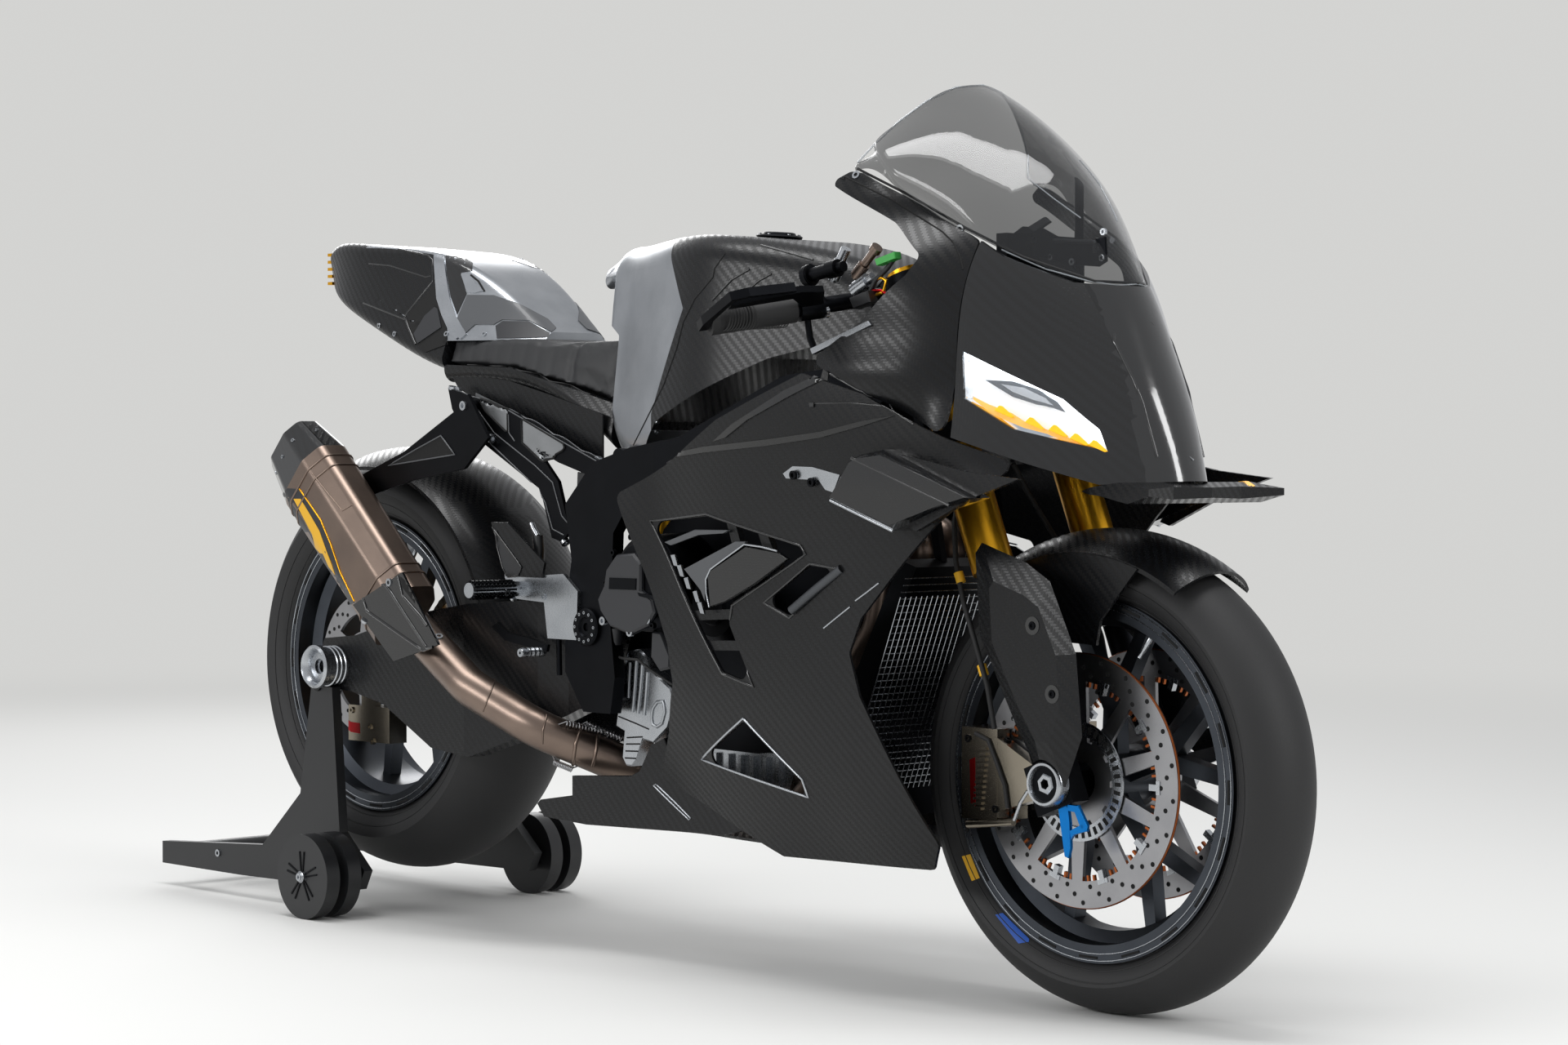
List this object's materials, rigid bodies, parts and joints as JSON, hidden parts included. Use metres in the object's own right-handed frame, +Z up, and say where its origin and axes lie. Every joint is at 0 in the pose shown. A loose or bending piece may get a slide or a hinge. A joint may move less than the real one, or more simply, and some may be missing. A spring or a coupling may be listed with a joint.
{
  "type": "sport motorcycle on a paddock stand",
  "caption": "Race-trim sport motorcycle with carbon fairing, gold fork, slick tyres and single-side muffler, held level by a rear paddock stand",
  "frame": {"origin": "on the floor, below the middle of the machine and its stand", "axes": "+X forward along the machine, +Y to the rider's left, +Z up"},
  "size_m": [2.2185, 0.7652, 1.196],
  "materials": {
    "tyre": "satin",
    "dark_forged_alloy": "anodised, satin",
    "machined_alloy": "machined",
    "black_alloy": "anodised, satin",
    "gold_alloy": "anodised, polished",
    "brushed_tank_alloy": "brushed",
    "carbon_satin": "satin",
    "carbon_gloss": "gloss",
    "disc_steel": "ground",
    "exhaust_titanium": "satin",
    "chain_steel": "oiled",
    "frame_black": "satin",
    "seat_foam": "matt",
    "clear_screen": "gloss",
    "grip_rubber": "matt",
    "hose_black": "satin",
    "black_plastic": "satin"
  },
  "bodies": {
    "chassis": {"belly_pan": "carbon_satin", "chain": "chain_steel", "chin_wing": "carbon_satin", "engine_block": "black_alloy", "engine_covers": "black_alloy", "exhaust_header": "exhaust_titanium", "frame": "black_alloy", "headlamps": "machined_alloy", "heat_shield": "carbon_gloss", "heel_guards": "carbon_satin", "instrument_stay": "black_alloy", "link_pipe": "exhaust_titanium", "muffler": "exhaust_titanium", "muffler_bracket": "black_alloy", "muffler_end_cap": "carbon_gloss", "nose_panel": "carbon_gloss", "oil_cooler": "machined_alloy", "oil_pan": "machined_alloy", "radiator": "machined_alloy", "rear_axle": "machined_alloy", "rear_caliper": "machined_alloy", "rear_hugger": "carbon_satin", "rearsets": "machined_alloy", "seat_pad": "seat_foam", "seat_tray": "carbon_satin", "shock_absorber": "gold_alloy", "side_fairings": "carbon_satin", "stand_frame": "frame_black", "subframe": "black_alloy", "swingarm": "carbon_satin", "tail_fins": "gold_alloy", "tail_hump": "brushed_tank_alloy", "tail_unit": "carbon_satin", "tank_cover": "carbon_satin", "tank_rear": "brushed_tank_alloy", "upper_fairings": "carbon_satin", "windscreen": "clear_screen", "winglets": "carbon_satin"},
    "steering": {"brake_hoses": "hose_black", "fork_clamps": "black_alloy", "fork_covers": "black_alloy", "fork_tubes": "gold_alloy", "front_axle": "machined_alloy", "front_calipers": "machined_alloy", "front_mudguard": "carbon_satin", "grips": "grip_rubber", "handlebars": "black_alloy", "lever_guards": "black_alloy", "levers": "black_alloy"},
    "front_wheel": {"front_rim": "dark_forged_alloy", "front_tyre": "tyre", "front_discs": "disc_steel"},
    "rear_wheel": {"rear_rim": "dark_forged_alloy", "rear_tyre": "tyre", "rear_disc": "disc_steel", "rear_sprocket": "gold_alloy"},
    "stand_castor_right": {"stand_wheels_right": "black_plastic"},
    "stand_castor_left": {"stand_wheels_left": "black_plastic"}
  },
  "joints": [
    {"name": "steering", "type": "hinge", "parent": "chassis", "child": "steering", "pos_m": [0.57156, 0, 0.79915], "axis": [-0.3714, 0, 0.9285], "range_deg": [-20, 20]},
    {"name": "front_wheel_spin", "type": "hinge", "parent": "steering", "child": "front_wheel", "pos_m": [0.8046, 0, 0.3], "axis": [0, 1, 0], "continuous": true},
    {"name": "rear_wheel_spin", "type": "hinge", "parent": "chassis", "child": "rear_wheel", "pos_m": [-0.65, 0, 0.383], "axis": [0, 1, 0], "continuous": true},
    {"name": "stand_castor_right_spin", "type": "hinge", "parent": "chassis", "child": "stand_castor_right", "pos_m": [-0.61, -0.22, 0.065], "axis": [0, 1, 0], "continuous": true},
    {"name": "stand_castor_left_spin", "type": "hinge", "parent": "chassis", "child": "stand_castor_left", "pos_m": [-0.61, 0.22, 0.065], "axis": [0, 1, 0], "continuous": true}
  ]
}
